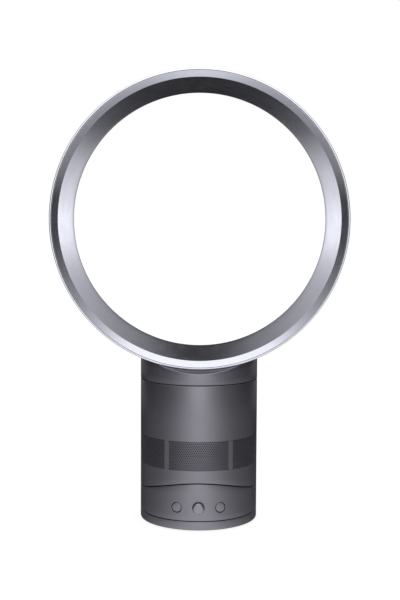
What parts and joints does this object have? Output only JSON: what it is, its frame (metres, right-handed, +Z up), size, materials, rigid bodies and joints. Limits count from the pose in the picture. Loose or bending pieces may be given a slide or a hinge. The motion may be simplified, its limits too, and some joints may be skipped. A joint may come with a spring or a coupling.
{
  "type": "bladeless desk fan",
  "caption": "Bladeless desk fan: a hollow ring with a rear air slot on a round base that tilts, swings and holds a mixed-flow impeller.",
  "frame": {"origin": "centre of the base's underside, on the surface that the rubber feet stand on", "axes": "+Z up, -Y towards the front with the controls, +X to the right as seen from the front"},
  "size_m": [0.356, 0.1486, 0.547],
  "materials": {
    "body_paint": "gunmetal metallic paint, satin",
    "loop_paint": "silver metallic paint, satin gloss",
    "control_cap": "metallic paint, satin",
    "rubber": "matt, moulded",
    "acetal": "natural, moulded",
    "black_plastic": "matt, moulded",
    "steel": "zinc plated or ground",
    "circuit_board": "green solder mask"
  },
  "bodies": {
    "foot": {"foot_shell": "body_paint", "rubber_foot_1": "rubber", "rubber_foot_2": "rubber", "rubber_foot_3": "rubber", "rubber_foot_4": "rubber", "rubber_foot_5": "rubber", "glide_ring": "acetal", "swivel_gear": "acetal", "swivel_circlip": "steel", "cable_gland": "rubber"},
    "lower_body": {"lower_housing": "body_paint", "tilt_cradle": "body_paint", "cradle_screw_1": "steel", "cradle_screw_2": "steel", "cradle_screw_3": "steel", "cradle_screw_4": "steel", "control_board": "circuit_board", "speed_potentiometer": "black_plastic", "power_switch": "black_plastic", "oscillation_switch": "black_plastic", "main_board": "circuit_board", "oscillation_motor": "steel", "drive_screw_1": "steel", "drive_screw_2": "steel"},
    "pinion": {"oscillation_shaft": "steel", "oscillation_pinion": "acetal"},
    "power_key": {"power_button": "control_cap"},
    "dial": {"speed_dial": "control_cap"},
    "oscillation_key": {"oscillation_button": "control_cap"},
    "main_body": {"body_casing": "body_paint", "tilt_shoe": "body_paint", "tilt_guide_left": "acetal", "tilt_guide_right": "acetal", "guide_screw_left": "steel", "guide_screw_right": "steel", "impeller_housing": "black_plastic", "housing_mount_1": "rubber", "housing_mount_2": "rubber", "housing_mount_3": "rubber", "diffuser": "black_plastic", "motor_bucket_lower": "black_plastic", "motor_bucket_upper": "black_plastic", "motor_can": "steel", "motor_bearing_lower": "steel", "motor_bearing_upper": "steel", "bayonet_ring": "black_plastic"},
    "rotor": {"impeller": "black_plastic", "impeller_nut": "steel", "motor_shaft": "steel", "motor_rotor": "steel"},
    "loop": {"neck_collar": "body_paint", "neck_seal": "rubber", "loop_outer_casing": "loop_paint", "loop_inner_casing": "loop_paint"}
  },
  "joints": [
    {"name": "swing", "type": "hinge", "parent": "foot", "child": "lower_body", "pos_m": [0, 0, 0.0123], "axis": [0, 0, 1], "range_deg": [-45, 45]},
    {"name": "pinion_spin", "type": "hinge", "parent": "lower_body", "child": "pinion", "pos_m": [0, 0.034, 0.0063], "axis": [0, 0, 1], "range_deg": [-108, 108]},
    {"name": "power_press", "type": "slide", "parent": "lower_body", "child": "power_key", "axis": [0.3665, 0.9304, 0], "range_m": [0, 0.0012], "stiffness_N_per_m": 1000},
    {"name": "speed_turn", "type": "hinge", "parent": "lower_body", "child": "dial", "pos_m": [0, -0.07, 0.0284], "axis": [0, 1, 0], "range_deg": [-135, 135]},
    {"name": "oscillation_press", "type": "slide", "parent": "lower_body", "child": "oscillation_key", "axis": [-0.3665, 0.9304, 0], "range_m": [0, 0.0012], "stiffness_N_per_m": 1000},
    {"name": "tilt", "type": "hinge", "parent": "lower_body", "child": "main_body", "pos_m": [0, 0, 0.2118], "axis": [1, 0, 0], "range_deg": [-10, 10]},
    {"name": "impeller_spin", "type": "hinge", "parent": "main_body", "child": "rotor", "pos_m": [0, 0, 0.12], "axis": [0, 0, 1], "continuous": true},
    {"name": "loop_twist", "type": "hinge", "parent": "main_body", "child": "loop", "pos_m": [0, 0, 0.1745], "axis": [0, 0, 1], "range_deg": [0, 15]}
  ],
  "couplings": [
    {"joint": "pinion_spin", "follows": "swing", "ratio": 2.4}
  ]
}
